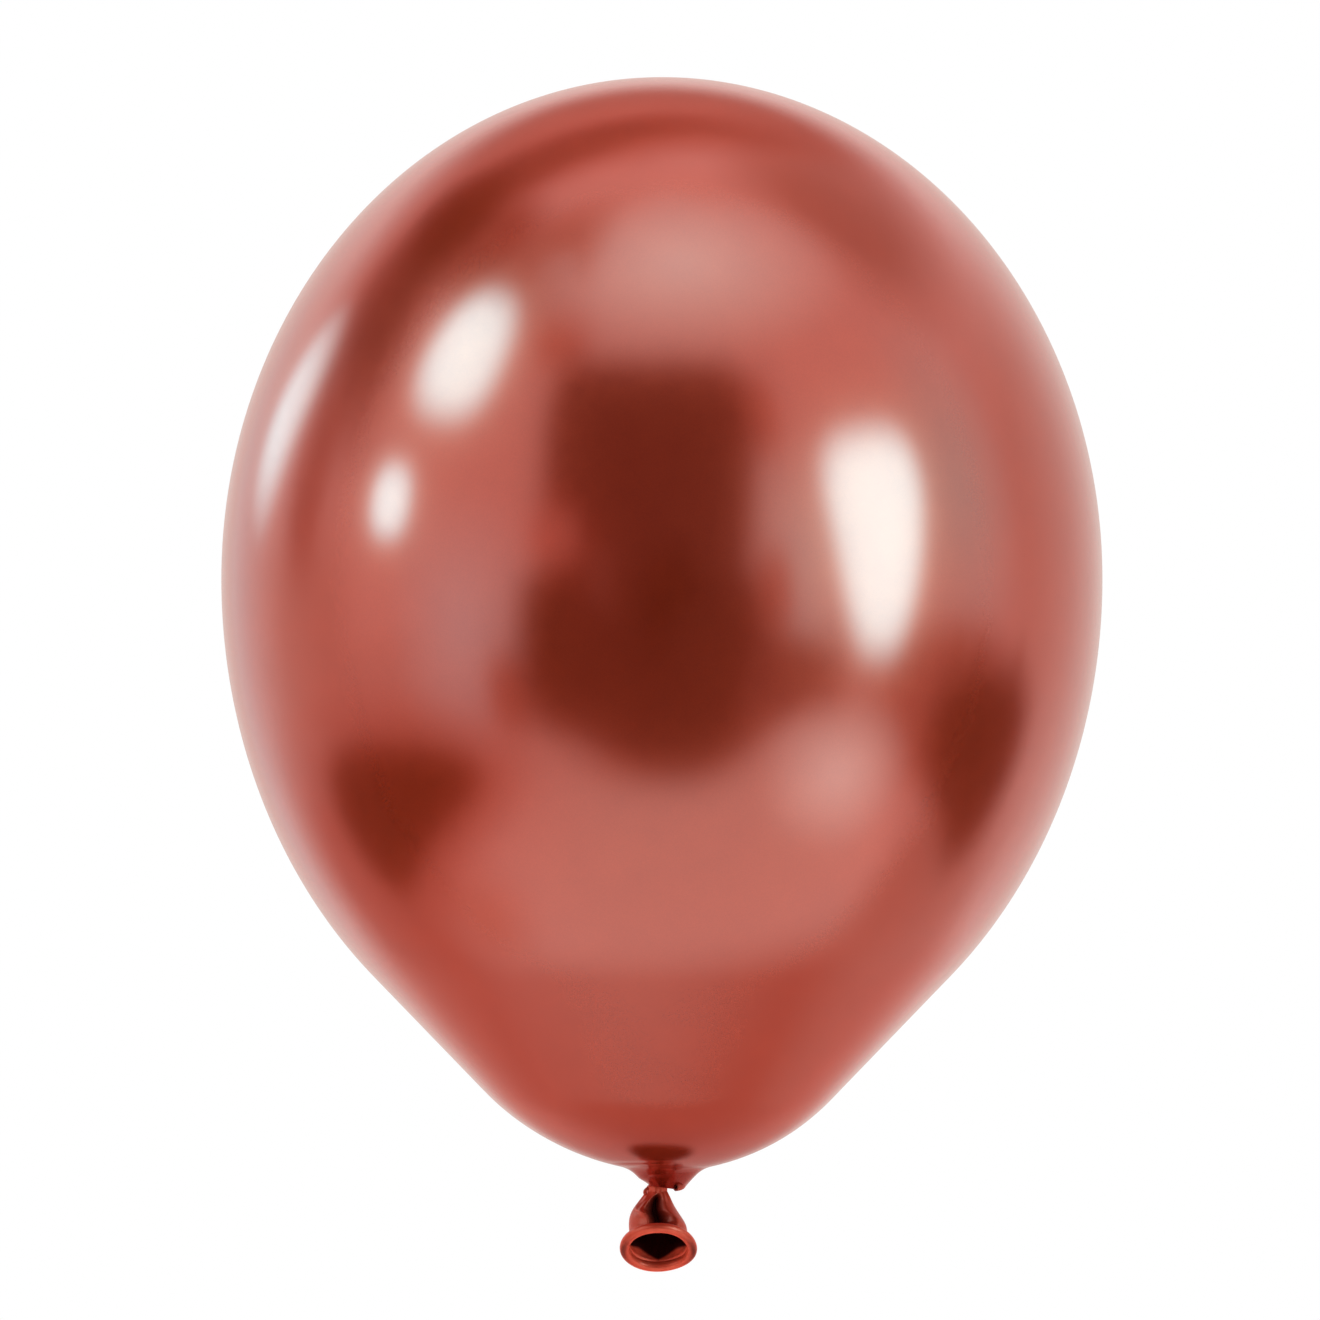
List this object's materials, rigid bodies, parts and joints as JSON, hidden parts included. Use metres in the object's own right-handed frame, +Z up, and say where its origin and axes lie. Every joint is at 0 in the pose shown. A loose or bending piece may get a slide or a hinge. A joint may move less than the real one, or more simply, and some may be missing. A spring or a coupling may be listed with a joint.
{
  "type": "latex balloon",
  "caption": "Inflated, hand-tied party balloon of metallic red latex, with a knotted neck, a pinched waist and a short folded tail that ends in a rolled mouth.",
  "frame": {"origin": "on the balloon's axis at the height of the waist under the knot, where a ribbon is tied", "axes": "+Z up the balloon's axis from the waist to the crown; -Y is the front, towards which the mouth opens"},
  "size_m": [0.28, 0.28, 0.3793],
  "materials": {
    "body_latex": "stretched latex film with a metallic red pigment and a satin shine",
    "tail_latex": "unstretched latex, deeper red, soft shine"
  },
  "bodies": {
    "knot": {"knot": "body_latex"},
    "neck": {"neck_collar": "body_latex"},
    "balloon": {"envelope": "body_latex"},
    "throat": {"throat": "tail_latex"},
    "tail": {"tail_skirt": "tail_latex"},
    "mouth": {"mouth_bead": "tail_latex"}
  },
  "joints": [
    {"name": "body_lean_x", "type": "hinge", "parent": "knot", "child": "neck", "pos_m": [0, 0, 0.0054], "axis": [1, 0, 0], "range_deg": [-12, 12], "stiffness_Nm_per_rad": 0.03},
    {"name": "body_lean_y", "type": "hinge", "parent": "neck", "child": "balloon", "pos_m": [0, 0, 0.0054], "axis": [0, 1, 0], "range_deg": [-12, 12], "stiffness_Nm_per_rad": 0.03},
    {"name": "tail_nod", "type": "hinge", "parent": "knot", "child": "throat", "pos_m": [-0.0015, 0, -0.0024], "axis": [1, 0, 0], "range_deg": [-30, 30], "stiffness_Nm_per_rad": 0.0001},
    {"name": "tail_sway", "type": "hinge", "parent": "throat", "child": "tail", "pos_m": [-0.0015, 0, -0.0024], "axis": [0, 1, 0], "range_deg": [-30, 30], "stiffness_Nm_per_rad": 0.0001},
    {"name": "mouth_twist", "type": "hinge", "parent": "tail", "child": "mouth", "pos_m": [-0.0015, -0.0051, -0.01727], "axis": [0, -0.5736, -0.8192], "range_deg": [-40, 40], "stiffness_Nm_per_rad": 0.00005}
  ]
}
